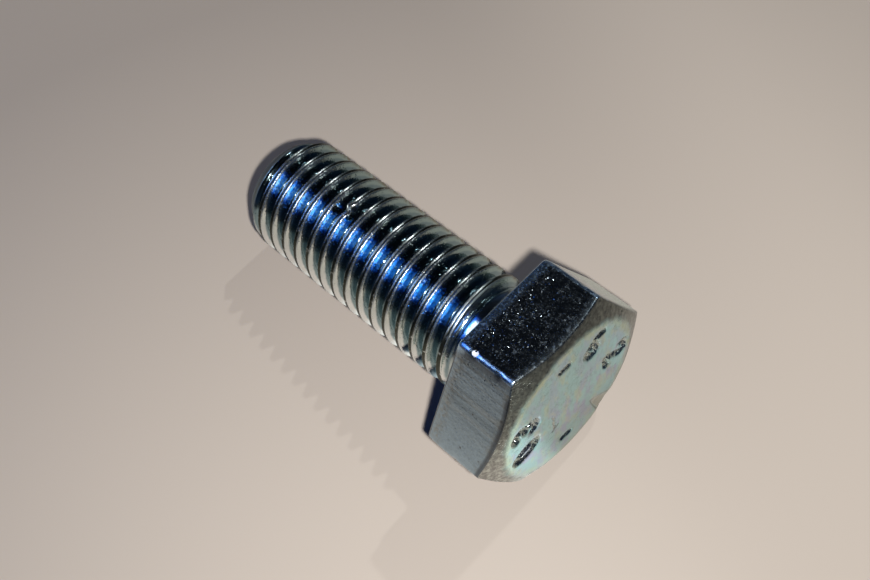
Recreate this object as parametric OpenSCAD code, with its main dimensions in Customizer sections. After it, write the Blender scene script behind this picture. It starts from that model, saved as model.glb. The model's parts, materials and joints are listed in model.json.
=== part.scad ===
// Hex head screw, threaded up to its head, in millimetres. It is one forged and rolled piece.
// It lies as it comes to rest: on one flat of the head, at that flat's bearing side, and on the
// last full crest of the thread. Its axis lies in the XZ plane, with the tip at the +X end, and
// dips toward the tip. The origin is the centre of the bearing face, on the axis.

/* [Head] */
// Width across two opposite flats
across_flats = 18.8; // [15:0.1:30]
// Height of the head, from the bearing face to the flat top
head_height = 7.5; // [5:0.1:15]
// How far inside the flats the flat circle on the top ends, where the corner chamfer starts
top_circle_inset = 0.95; // [0.2:0.05:2]
// Angle of the corner chamfer, measured from the top
corner_chamfer_angle = 25; // [15:1:35]
// Radius of the six upright corners
corner_radius = 0.6; // [0.2:0.1:1]
// Radius of the flats' edges on the bearing side
bearing_edge_radius = 0.6; // [0.2:0.1:1]
// How far inside the flats the raised washer face under the head ends
washer_face_inset = 0.8; // [0.65:0.05:1.5]
// Thickness of the washer face
washer_face_t = 0.35; // [0.15:0.05:0.6]

/* [Shank] */
// Length of the shank, from the bearing face to the tip
shank_length = 30.2; // [20:0.1:60]
// Length of the plain neck, from the bearing face to the start of the thread
neck_length = 2.2; // [1.4:0.1:5]
// Radius of the fillet between the neck and the bearing face
neck_fillet = 0.6; // [0.2:0.1:1]
// How far the tip's chamfer cuts in from the crests
tip_chamfer_depth = 1.225; // [0.9:0.025:2.5]
// Angle of the tip's chamfer, measured from the axis
tip_chamfer_angle = 35; // [25:1:50]

/* [Thread] */
// Diameter over the crests
thread_d = 11.85; // [9.8:0.05:14.4]
// Distance from one crest to the next
thread_pitch = 1.75; // [1.5:0.05:2]
// Width of the flat on each crest
crest_width = 0.48; // [0.2:0.02:0.6]
// Width of the flat at the bottom of the groove
root_width = 0.3; // [0.2:0.02:0.4]
// Length over which the thread fades into the neck
runout_length = 2.4; // [1.8:0.1:4]
// Distance from the bearing face to the nearest place where a crest crosses the underside
first_crest = 0.68; // [0:0.01:1.74]

/* [Hidden] */

// Steps in one turn of the thread
TURN_STEPS = 36;
// Half of the angle between the two flanks of a groove
FLANK_ANGLE = 30;
// Side of each bulk solid that trims another
TRIM = 2 * across_flats;
// How far a solid that is joined to another, or cuts it, reaches past the shared face
REACH = 0.1;
// Steps round a full circle, for large rounds and for small ones
LARGE_STEPS = 96;
SMALL_STEPS = 48;
// How far the corners of the threaded solid's stub stand inside the neck's cylinder
NECK_INSET = 0.02;
// Length over which the threaded solid reaches into the neck
NECK_OVERLAP = 0.4;

flat_distance = across_flats / 2;
crest_radius = thread_d / 2;
groove_depth = (thread_pitch - crest_width - root_width) / (2 * tan(FLANK_ANGLE));
root_radius = crest_radius - groove_depth;
// A rolled thread swells out of a blank about as thick as the thread halfway up its flanks
neck_radius = crest_radius - groove_depth / 2;
blank_radius = neck_radius - NECK_INSET;
top_radius = flat_distance - top_circle_inset;
washer_radius = flat_distance - washer_face_inset;
tip_radius = crest_radius - tip_chamfer_depth;
tip_slope = tan(tip_chamfer_angle);
chamfer_start = shank_length - tip_chamfer_depth / tip_slope;

// One pitch of the thread's outline, as [distance along the axis, height from root 0 to crest 1].
// The bottom of the groove is hollowed by a middle point a little deeper than its two sides.
ROOT_HOLLOW = -0.04;
outline = [
    [-crest_width / 2, 1],
    [crest_width / 2, 1],
    [thread_pitch / 2 - root_width / 2, 0],
    [thread_pitch / 2, ROOT_HOLLOW],
    [thread_pitch / 2 + root_width / 2, 0]
];
outline_points = len(outline);
// Turns in the table, with spare ones at both ends that shrink onto the end circles
first_turn = -3;
last_turn = ceil(shank_length / thread_pitch) + 2;
row_count = (last_turn - first_turn) * outline_points;

// Share of the full thread at a distance z from the bearing face, from 0 in the neck to 1
function thread_share(z) =
    let(t = min(1, max(0, (z - neck_length) / runout_length)))
    t * t * (3 - 2 * t);

// Radius that the tip's chamfer leaves at a distance z from the bearing face
function chamfer_radius(z) = tip_radius + (shank_length - z) * tip_slope;

// Radius of the thread at a distance z, for an outline point of the given height
function thread_radius(z, height) = min(
    chamfer_radius(z),
    blank_radius + thread_share(z)
        * (root_radius + height * groove_depth - blank_radius)
);

// The point of the thread's surface in one row of the table, after the given steps of a turn
function surface_point(step, row) =
    let(
        turn = floor(row / outline_points) + first_turn,
        corner = outline[row % outline_points],
        angle = 360 * step / TURN_STEPS,
        along = first_crest + thread_pitch * (turn + step / TURN_STEPS) + corner[0],
        z = min(shank_length, max(neck_length, along)),
        r = thread_radius(z, corner[1])
    )
    [r * cos(angle), r * sin(angle), z];

// Index of a surface point. After a whole turn the rows have moved up by one pitch.
function surface_index(step, row) = step == TURN_STEPS
    ? min(row + outline_points, row_count - 1)
    : step * row_count + row;

// A triangle is kept only where its three corners are apart
function apart(points, t) =
    points[t[0]] != points[t[1]] && points[t[1]] != points[t[2]] && points[t[2]] != points[t[0]];

// The threaded solid as one closed surface: the helical side, a plain stub that reaches into the
// neck, and the flat end of the tip.
module threaded_solid() {
    side = [for (step = [0:TURN_STEPS - 1], row = [0:row_count - 1]) surface_point(step, row)];
    stub_z = neck_length - NECK_OVERLAP;
    stub = [
        for (step = [0:TURN_STEPS - 1])
            let(angle = 360 * step / TURN_STEPS)
            [blank_radius * cos(angle), blank_radius * sin(angle), stub_z]
    ];
    points = concat(side, stub, [[0, 0, stub_z], [0, 0, shank_length]]);
    stub_start = len(side);
    stub_centre = stub_start + TURN_STEPS;
    tip_centre = stub_centre + 1;
    triangles = concat(
        [
            for (step = [0:TURN_STEPS - 1], row = [0:row_count - 2], half = [0, 1])
                let(
                    a = surface_index(step, row),
                    b = surface_index(step + 1, row),
                    c = surface_index(step + 1, row + 1),
                    d = surface_index(step, row + 1)
                )
                half == 0 ? [a, c, b] : [a, d, c]
        ],
        [
            for (step = [0:TURN_STEPS - 1], half = [0:3])
                let(
                    next = (step + 1) % TURN_STEPS,
                    low = stub_start + step,
                    low_next = stub_start + next,
                    high = surface_index(step, 0),
                    high_next = surface_index(next, 0),
                    end = surface_index(step, row_count - 1),
                    end_next = surface_index(next, row_count - 1)
                )
                half == 0 ? [stub_centre, low, low_next]
                : half == 1 ? [low, high_next, low_next]
                : half == 2 ? [low, high, high_next]
                : [tip_centre, end_next, end]
        ]
    );
    polyhedron(points, [for (t = triangles) if (apart(points, t)) t], convexity = 10);
}

// The neck with its fillet, turned from one outline
module neck() {
    rotate_extrude($fn = LARGE_STEPS) {
        square([neck_radius, neck_length]);
        translate([neck_radius, 0])
            difference() {
                square(neck_fillet);
                translate([neck_fillet, neck_fillet]) circle(neck_fillet, $fn = SMALL_STEPS);
            }
    }
}

// Outline of the hexagon, with two of its corners on the Y axis
module hexagon() {
    rotate(30)
        offset(r = corner_radius, $fn = SMALL_STEPS)
            circle(r = (flat_distance - corner_radius) / cos(30), $fn = 6);
}

// What the corner chamfer leaves of the head
module chamfer_envelope() {
    slope = tan(corner_chamfer_angle);
    rotate_extrude($fn = LARGE_STEPS)
        polygon([
            [0, -head_height],
            [top_radius, -head_height],
            [TRIM, -head_height + (TRIM - top_radius) * slope],
            [TRIM, 0],
            [0, 0]
        ]);
}

// What rounds one flat's edge on the bearing side
module edge_trim() {
    rotate([90, 0, 0])
        linear_extrude(TRIM, center = true)
            translate([flat_distance - bearing_edge_radius, -washer_face_t - bearing_edge_radius])
                difference() {
                    square(bearing_edge_radius + REACH);
                    circle(bearing_edge_radius, $fn = SMALL_STEPS);
                }
}

module head() {
    difference() {
        intersection() {
            translate([0, 0, -head_height])
                linear_extrude(head_height - washer_face_t) hexagon();
            chamfer_envelope();
        }
        for (side = [0:5]) rotate(60 * side) edge_trim();
    }
    translate([0, 0, -washer_face_t - REACH])
        cylinder(r = washer_radius, h = washer_face_t + REACH, $fn = LARGE_STEPS);
}

// Where the screw touches what it lies on, below its level axis: the start of the rounded edge,
// and the last crest that stands whole before the tip's chamfer. The chamfer may cut that crest's
// far side, and then only its near side touches.
edge_z = -washer_face_t - bearing_edge_radius;
edge_drop = flat_distance - bearing_edge_radius;
last_crest = floor((chamfer_start + crest_width / 2 - first_crest) / thread_pitch);
near_side_z = first_crest + last_crest * thread_pitch - crest_width / 2;
far_side_z = near_side_z + crest_width;
crest_z = far_side_z <= chamfer_start ? far_side_z : near_side_z;
rest_run = crest_z - edge_z;
rest_rise = edge_drop - crest_radius;
rest_dip = atan(rest_rise / rest_run)
    + asin(bearing_edge_radius / sqrt(rest_run * rest_run + rest_rise * rest_rise));

module screw() {
    color([0.62, 0.65, 0.63])
        rotate([0, 90 + rest_dip, 0]) {
            head();
            neck();
            threaded_solid();
        }
}

screw();
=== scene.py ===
"""Fine form and finish of a hex head screw that lies on a pale floor.

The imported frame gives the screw's place, the direction of its axis and its outer box. The
screw's visible surface is modelled here in the screw's own straight frame, in millimetres: x runs
along the axis from the bearing face to the tip, and an angle round the axis is measured from +y
toward +z. The finished mesh is then laid onto the frame's axis.
"""

import json
import logging
import math
import random
from dataclasses import dataclass, field
from enum import Enum
from typing import Callable, Iterable, Sequence

import bmesh
import bpy
from mathutils import Matrix, Vector, noise
from mathutils.geometry import delaunay_2d_cdt


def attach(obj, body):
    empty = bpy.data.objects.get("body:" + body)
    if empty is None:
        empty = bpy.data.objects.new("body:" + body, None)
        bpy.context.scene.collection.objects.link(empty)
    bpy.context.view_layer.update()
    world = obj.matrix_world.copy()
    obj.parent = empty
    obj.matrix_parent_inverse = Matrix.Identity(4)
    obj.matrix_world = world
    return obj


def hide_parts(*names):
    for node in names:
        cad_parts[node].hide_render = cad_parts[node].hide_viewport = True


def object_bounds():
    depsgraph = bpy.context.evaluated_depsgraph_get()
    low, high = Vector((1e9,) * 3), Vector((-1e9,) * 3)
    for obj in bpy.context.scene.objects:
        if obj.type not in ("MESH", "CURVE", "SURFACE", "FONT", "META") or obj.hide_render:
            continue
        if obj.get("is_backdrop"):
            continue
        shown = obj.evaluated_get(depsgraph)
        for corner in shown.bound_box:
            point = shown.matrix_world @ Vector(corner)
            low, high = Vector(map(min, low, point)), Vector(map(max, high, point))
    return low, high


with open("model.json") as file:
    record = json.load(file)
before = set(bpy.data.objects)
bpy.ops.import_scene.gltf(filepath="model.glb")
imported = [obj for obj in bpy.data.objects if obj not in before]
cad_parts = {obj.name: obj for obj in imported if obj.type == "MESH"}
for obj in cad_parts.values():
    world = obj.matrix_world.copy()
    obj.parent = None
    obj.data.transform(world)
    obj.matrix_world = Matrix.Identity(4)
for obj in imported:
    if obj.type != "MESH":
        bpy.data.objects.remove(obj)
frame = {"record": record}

MM = 0.001
LOG = logging.getLogger("hex_screw")

Point = tuple[float, float]
Spot = tuple[float, float, float]
Colour = tuple[float, float, float]
Number = "Signal | float"

WINDOW_BLUES = (
    (0.012, 0.10, 0.80),
    (0.018, 0.19, 0.95),
    (0.030, 0.29, 1.05),
    (0.040, 0.38, 1.15),
    (0.070, 0.50, 1.20),
)
WINDOW_STEP = 0.002
SPARKLE_CALM = 0.05
SPARKLE_RARITY = 7.0


def smooth_step(low: float, high: float, value: float) -> float:
    """Rises smoothly from 0 at low to 1 at high.

    Args:
        low: The value at which the rise starts.
        high: The value at which it ends.
        value: Where to read it.

    Returns:
        A share from 0 to 1.
    """
    share = min(1.0, max(0.0, (value - low) / (high - low)))
    return share * share * (3.0 - 2.0 * share)


def spread(low: float, high: float, count: int) -> list[float]:
    """Returns count values at even steps from low to high, both included."""
    return [low + (high - low) * i / (count - 1) for i in range(count)]


def arc(centre: Point, radius: float, start: float, end: float, count: int) -> list[Point]:
    """Points along an arc.

    Args:
        centre: The arc's centre.
        radius: The arc's radius.
        start: Angle of the first point, in degrees.
        end: Angle of the last point, in degrees.
        count: How many points.

    Returns:
        The points in order.
    """
    turns = [math.radians(a) for a in spread(start, end, count)]
    return [(centre[0] + radius * math.cos(a), centre[1] + radius * math.sin(a)) for a in turns]


class Zone(Enum):
    """A region of the surface with a finish of its own. Its value is its material slot."""

    HEAD_END = 0
    HEAD_SIDE = 1
    BEARING = 2
    THREAD = 3
    TIP_END = 4


# ---------------------------------------------------------------------------------------------
# Shaders


class Signal:
    """A number that varies over a surface. Arithmetic on it adds Math nodes."""

    def __init__(self, shader: "Shader", socket: bpy.types.NodeSocket) -> None:
        """Wraps an output socket of a shader."""
        self.shader = shader
        self.socket = socket

    def math(self, operation: str, *values: Number) -> "Signal":
        """Adds one Math node.

        Args:
            operation: The node's operation.
            values: Its inputs in order.

        Returns:
            The node's result.
        """
        node = self.shader.add("ShaderNodeMath", {"operation": operation}, dict(enumerate(values)))
        return Signal(self.shader, node.outputs[0])

    def __add__(self, other: Number) -> "Signal":
        """Adds another value."""
        return self.math("ADD", self, other)

    __radd__ = __add__

    def __sub__(self, other: Number) -> "Signal":
        """Subtracts another value."""
        return self.math("SUBTRACT", self, other)

    def __rsub__(self, other: Number) -> "Signal":
        """Subtracts this from another value."""
        return self.math("SUBTRACT", other, self)

    def __mul__(self, other: Number) -> "Signal":
        """Multiplies by another value."""
        return self.math("MULTIPLY", self, other)

    __rmul__ = __mul__

    def __truediv__(self, other: Number) -> "Signal":
        """Divides by another value."""
        return self.math("DIVIDE", self, other)

    def __rtruediv__(self, other: Number) -> "Signal":
        """Divides another value by this."""
        return self.math("DIVIDE", other, self)

    def __pow__(self, other: Number) -> "Signal":
        """Raises to a power."""
        return self.math("POWER", self, other)

    def larger(self, other: Number) -> "Signal":
        """Returns the larger of this and another value."""
        return self.math("MAXIMUM", self, other)

    def rise(self, low: float, high: float) -> "Signal":
        """Rises smoothly from 0 at low to 1 at high, and falls where low is above high.

        Args:
            low: The value at which the rise starts.
            high: The value at which it ends.

        Returns:
            A share from 0 to 1.
        """
        settings = {"interpolation_type": "SMOOTHSTEP"}
        sockets = {"Value": self, "From Min": low, "From Max": high}
        node = self.shader.add("ShaderNodeMapRange", settings, sockets)
        return Signal(self.shader, node.outputs["Result"])

    def hump(self, centre: float, half_width: float) -> "Signal":
        """Returns 1 at centre, falling smoothly to 0 at half_width from it."""
        away = self.math("ABSOLUTE", self - centre)
        return away.rise(half_width, 0.0)


class Shader:
    """A node tree that is built by one method."""

    def __init__(self, tree: bpy.types.NodeTree) -> None:
        """Takes over a node tree and empties it."""
        self.tree = tree
        tree.nodes.clear()

    def add(self, kind: str, settings: dict | None = None,
            sockets: dict | None = None) -> bpy.types.Node:
        """Adds a node.

        Args:
            kind: The node's type.
            settings: Its properties, set first; "stops" are a colour ramp's (place, colour) pairs.
            sockets: Its inputs by name or number, each a value, a Signal or an output socket.

        Returns:
            The new node.
        """
        node = self.tree.nodes.new(kind)
        for name, value in (settings or {}).items():
            if name == "stops":
                self._stops(node.color_ramp.elements, value)
            else:
                setattr(node, name, value)
        for key, value in (sockets or {}).items():
            target = node.inputs[key]
            if isinstance(value, Signal):
                value = value.socket
            if isinstance(value, bpy.types.NodeSocket):
                self.tree.links.new(value, target)
            elif isinstance(value, tuple) and target.type == "RGBA":
                target.default_value = (*value, 1.0)
            else:
                target.default_value = value
        return node

    @staticmethod
    def _stops(elements: bpy.types.ColorRampElements, stops: Sequence[tuple[float, Colour]]) -> None:
        """Sets a colour ramp's stops.

        Args:
            elements: The ramp's own stops.
            stops: Their (place, colour) pairs.
        """
        while len(elements) < len(stops):
            elements.new(1.0)
        for element, (place, colour) in zip(elements, stops):
            element.position = place
            element.color = (*colour, 1.0)

    def attribute(self, name: str) -> bpy.types.Node:
        """Returns the node that reads a mesh attribute."""
        return self.add("ShaderNodeAttribute", {"attribute_name": name})

    def blend(self, share: Number, low: object, high: object, mode: str = "MIX") -> bpy.types.NodeSocket:
        """Mixes two colours.

        Args:
            share: How much of the second colour.
            low: The first colour, as a tuple or an output socket.
            high: The second colour.
            mode: The blend mode.

        Returns:
            The mixed colour's socket.
        """
        settings = {"data_type": "RGBA", "blend_type": mode}
        return self.add("ShaderNodeMix", settings, {0: share, 6: low, 7: high}).outputs[2]


class Surface:
    """The coordinates and noises that a finish reads on the screw's surface."""

    def __init__(self, shader: Shader) -> None:
        """Reads the place attribute, in millimetres of the screw's straight frame.

        Args:
            shader: The shader to which coordinates and noises are added.
        """
        self.shader = shader
        self.place = shader.attribute("place").outputs["Vector"]
        parts = shader.add("ShaderNodeSeparateXYZ", {}, {0: self.place})
        self.along, self.aside, self.above = (Signal(shader, s) for s in parts.outputs)
        squared = self.aside * self.aside + self.above * self.above
        self.from_axis = squared.math("SQRT", squared)
        self.around = self.above.math("ARCTAN2", self.above, self.aside)
        self.crest = Signal(shader, shader.attribute("crest").outputs["Fac"])
        self.edge = Signal(shader, shader.attribute("edge").outputs["Fac"])

    def near(self, spot: Spot, reach: float) -> Signal:
        """Returns 1 at a spot of the straight frame, falling to 0 at reach from it."""
        squares = [(a - b) * (a - b) for a, b in zip((self.along, self.aside, self.above), spot)]
        return (squares[0] + squares[1] + squares[2]).rise(reach * reach, 0.0)

    def stretched(self, factors: Spot, shift: float = 0.0) -> bpy.types.NodeSocket:
        """Stretches the place, for a noise to read.

        Args:
            factors: What each axis is multiplied by.
            shift: What is added to each axis.

        Returns:
            The new coordinates.
        """
        sockets = {0: self.place, 1: factors, 2: (shift, shift, shift)}
        node = self.shader.add("ShaderNodeVectorMath", {"operation": "MULTIPLY_ADD"}, sockets)
        return node.outputs[0]

    def noise(self, scale: float, detail: float = 2.0, rough: float = 0.5,
              where: bpy.types.NodeSocket | None = None) -> Signal:
        """Fractal noise from 0 to 1.

        Args:
            scale: Cells in a millimetre.
            detail: How many finer octaves.
            rough: How strong the finer octaves are.
            where: The coordinates; the place if none.

        Returns:
            The noise.
        """
        sockets = {"Vector": where or self.place, "Scale": scale, "Detail": detail, "Roughness": rough}
        node = self.shader.add("ShaderNodeTexNoise", {"noise_dimensions": "3D"}, sockets)
        return Signal(self.shader, node.outputs["Fac"])

    def cells(self, scale: float, feature: str = "F1",
              where: bpy.types.NodeSocket | None = None) -> Signal:
        """Distance to scattered points, or to the borders between them.

        Args:
            scale: Points in a millimetre.
            feature: F1 for the points, DISTANCE_TO_EDGE for the borders.
            where: The coordinates; the place if none.

        Returns:
            The distance, in cells.
        """
        sockets = {"Vector": where or self.place, "Scale": scale}
        node = self.shader.add("ShaderNodeTexVoronoi", {"feature": feature}, sockets)
        return Signal(self.shader, node.outputs["Distance"])

    def sparkling(self, normal: bpy.types.NodeSocket, scale: float, tilt: Signal,
                  middle: Colour) -> bpy.types.NodeSocket:
        """Tilts the surface at random from one small crystal to the next.

        Args:
            normal: The surface's direction before.
            scale: Crystals in a millimetre.
            tilt: How far a strongly tilted crystal leans.
            middle: Share of each axis that counts as upright; 0.5 leans evenly both ways.

        Returns:
            The direction after.
        """
        shader = self.shader
        cells = shader.add("ShaderNodeTexVoronoi", {}, {"Vector": self.place, "Scale": scale})
        parts = shader.add("ShaderNodeSeparateXYZ", {}, {0: cells.outputs["Color"]})
        red, green, blue = (Signal(shader, socket) for socket in parts.outputs)
        share = SPARKLE_CALM + (1.0 - SPARKLE_CALM) * blue**SPARKLE_RARITY
        lean = tilt * share
        third = (blue * 7.0).math("FRACT", blue * 7.0)
        sideways = [(part - m) * lean for part, m in zip((red, green, third), middle)]
        aside = shader.add("ShaderNodeCombineXYZ", {}, dict(enumerate(sideways)))
        summed = shader.add("ShaderNodeVectorMath", {}, {0: normal, 1: aside.outputs[0]})
        unit = shader.add("ShaderNodeVectorMath", {"operation": "NORMALIZE"}, {0: summed.outputs[0]})
        return unit.outputs[0]


@dataclass(frozen=True)
class Finish:
    """A zinc-plated finish. Colours are those that the plating reflects."""

    name: str
    tint: Colour
    polish: float
    crystals: float = 6.0
    lean_middle: Colour = (0.5, 0.5, 0.5)

    def material(self) -> bpy.types.Material:
        """Builds the material from the finish's colour, gloss and relief.

        Returns:
            The material.
        """
        made = bpy.data.materials.new(self.name)
        made.use_nodes = True
        shader = Shader(made.node_tree)
        surface = Surface(shader)
        height = self.relief(surface)
        bump = shader.add("ShaderNodeBump", {}, {"Strength": 1.0, "Distance": MM, "Height": height})
        normal = surface.sparkling(
            bump.outputs["Normal"], self.crystals, self.sparkle(surface), self.lean_middle)
        sockets = {
            "Base Color": self.colour(surface),
            "Metallic": self.metal(surface),
            "Roughness": self.gloss(surface),
            "Normal": normal,
        }
        metal = shader.add("ShaderNodeBsdfPrincipled", {}, sockets)
        shader.add("ShaderNodeOutputMaterial", {}, {"Surface": metal.outputs[0]})
        made.diffuse_color = (*self.tint, 1.0)
        made.metallic = 1.0
        made.roughness = self.polish
        return made

    def colour(self, surface: Surface) -> bpy.types.NodeSocket:
        """Returns the colour over the surface."""
        raise NotImplementedError

    def metal(self, surface: Surface) -> Number:
        """Returns how metallic the surface is."""
        return 1.0

    def gloss(self, surface: Surface) -> Signal:
        """Returns the roughness over the surface."""
        raise NotImplementedError

    def relief(self, surface: Surface) -> Signal:
        """Returns the height over the surface, in millimetres."""
        raise NotImplementedError

    def sparkle(self, surface: Surface) -> Signal:
        """Returns how strongly the crystals of the plating lean."""
        return surface.noise(1.1, 2.0).rise(0.3, 0.7) * 0.5 + 0.3


@dataclass(frozen=True)
class ThreadFinish(Finish):
    """Bright rolled metal with painted shade in the grooves and painted light on the lower flanks,
    with a dark seam along each crest.

    The tip's chamfer is the cone on which the radius is chamfer_reach less chamfer_slope times
    the distance from the bearing face.
    """

    name: str = "zinc_thread"
    tint: Colour = (0.64, 0.70, 0.68)
    polish: float = 0.09
    crystals: float = 10.0
    painted_low_light: Colour = (0.96, 1.0, 1.0)
    shaded_side: Colour = (0.345, 0.46, 0.455)
    groove: Colour = (0.21, 0.30, 0.33)
    low_groove_shade: Colour = (0.33, 0.45, 0.48)
    seam: Colour = (0.035, 0.040, 0.025)
    scale: Colour = (0.060, 0.066, 0.072)
    browned: Colour = (0.20, 0.165, 0.11)
    groove_shade_edge: Point = (5.64, 5.46)
    lip_edge: Point = (5.76, 5.85)
    stain_edge: Point = (5.58, 5.82)
    chamfer_slope: float = 0.0
    chamfer_reach: float = math.inf

    def _tip_chamfer(self, surface: Surface) -> Signal:
        """Returns 1 on the tip's chamfer and 0 on the rest."""
        above_cone = surface.from_axis + surface.along * self.chamfer_slope - self.chamfer_reach
        return above_cone.rise(-0.14, -0.04)

    @staticmethod
    def _by_neck(surface: Surface) -> Signal:
        """Returns 1 at the neck, falling to 0 where the thread is whole."""
        return surface.along.rise(5.0, 3.0)

    def metal(self, surface: Surface) -> Number:
        """Returns a lower share on the dull chamfer of the tip."""
        return 1.0 - self._tip_chamfer(surface) * 0.75

    def colour(self, surface: Surface) -> bpy.types.NodeSocket:
        """Colours the flanks with painted light below and painted shade on the far side, brown at one
        side, the grooves with painted shade, and the crests' dark seam.

        Args:
            surface: The surface's coordinates and noises.

        Returns:
            The colour.
        """
        blend = surface.shader.blend
        low = surface.above.rise(2.4, -0.6)
        # Painted light: the lower flanks are paler. Painted shade darkens the far side.
        sides = blend(low, self.tint, self.painted_low_light)
        sides = blend(surface.aside.rise(-0.5, -3.5), sides, self.shaded_side)
        stained = surface.aside.rise(-4.2, -5.4) * surface.noise(1.4, 3.0, 0.6).rise(0.30, 0.55)
        sides = blend(stained * surface.from_axis.rise(*self.stain_edge) * 0.8, sides, self.browned)
        ragged = (surface.noise(1.6, 2.0) - 0.5) * 0.16
        # Painted shade: the grooves darken with depth, less so on the lower side.
        groove = blend(low, self.groove, self.low_groove_shade)
        plated = blend((surface.from_axis + ragged).rise(*self.groove_shade_edge), sides, groove)
        plated = blend(self._tip_chamfer(surface) * 0.85, plated, self.scale)
        broken = surface.noise(2.2, 2.0).rise(0.22, 0.40)
        width = 0.12 + surface.around.hump(1.45, 0.95) * 0.66
        seam = (surface.crest - width).rise(-0.08, 0.12)
        return blend(broken * seam * 0.95, plated, self.seam)

    def gloss(self, surface: Surface) -> Signal:
        """Sets a low roughness that rises in patches, on the lips and on the tip's chamfer.

        Args:
            surface: The surface's coordinates and noises.

        Returns:
            The roughness.
        """
        lip = surface.from_axis.rise(*self.lip_edge) * 0.17
        runout = self._by_neck(surface) * 0.07
        worn = surface.noise(2.2, 2.0).rise(0.45, 0.8) * 0.05
        return self.polish + lip + runout + worn + self._tip_chamfer(surface) * 0.45

    def relief(self, surface: Surface) -> Signal:
        """Makes fine grain, stronger by the neck, and sparse small pits.

        Args:
            surface: The surface's coordinates and noises.

        Returns:
            The height, in millimetres.
        """
        grain = surface.noise(4.0, 2.0, 0.5) * (0.005 + self._by_neck(surface) * 0.014)
        pits = surface.cells(2.6).rise(0.20, 0.05) * surface.noise(0.8, 1.0).rise(0.50, 0.65)
        return grain - pits * 0.02

    def sparkle(self, surface: Surface) -> Signal:
        """Returns a weak lean of the crystals, strongest on the upper side."""
        return 0.12 + surface.above.rise(3.0, 5.0) * 0.32


@dataclass(frozen=True)
class BearingFinish(Finish):
    """Smooth turned metal of the neck and the washer face."""

    name: str = "zinc_bearing"
    tint: Colour = (0.56, 0.64, 0.63)
    polish: float = 0.11
    shade: Colour = (0.38, 0.46, 0.46)

    def colour(self, surface: Surface) -> bpy.types.NodeSocket:
        """Returns the plating's colour with cloudy patches."""
        return surface.shader.blend(surface.noise(0.8, 3.0).rise(0.4, 0.7), self.tint, self.shade)

    def gloss(self, surface: Surface) -> Signal:
        """Returns a low roughness with dull patches."""
        return self.polish + surface.noise(2.0, 2.0).rise(0.5, 0.8) * 0.05

    def relief(self, surface: Surface) -> Signal:
        """Returns faint rings round the axis and fine grain."""
        rings = surface.from_axis.math("SINE", surface.from_axis * 16.0) * 0.0012
        return rings + surface.noise(4.0, 2.0) * 0.003

    def sparkle(self, surface: Surface) -> Signal:
        """Returns a faint lean of the crystals."""
        return surface.noise(1.1, 2.0) * 0.12


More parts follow.
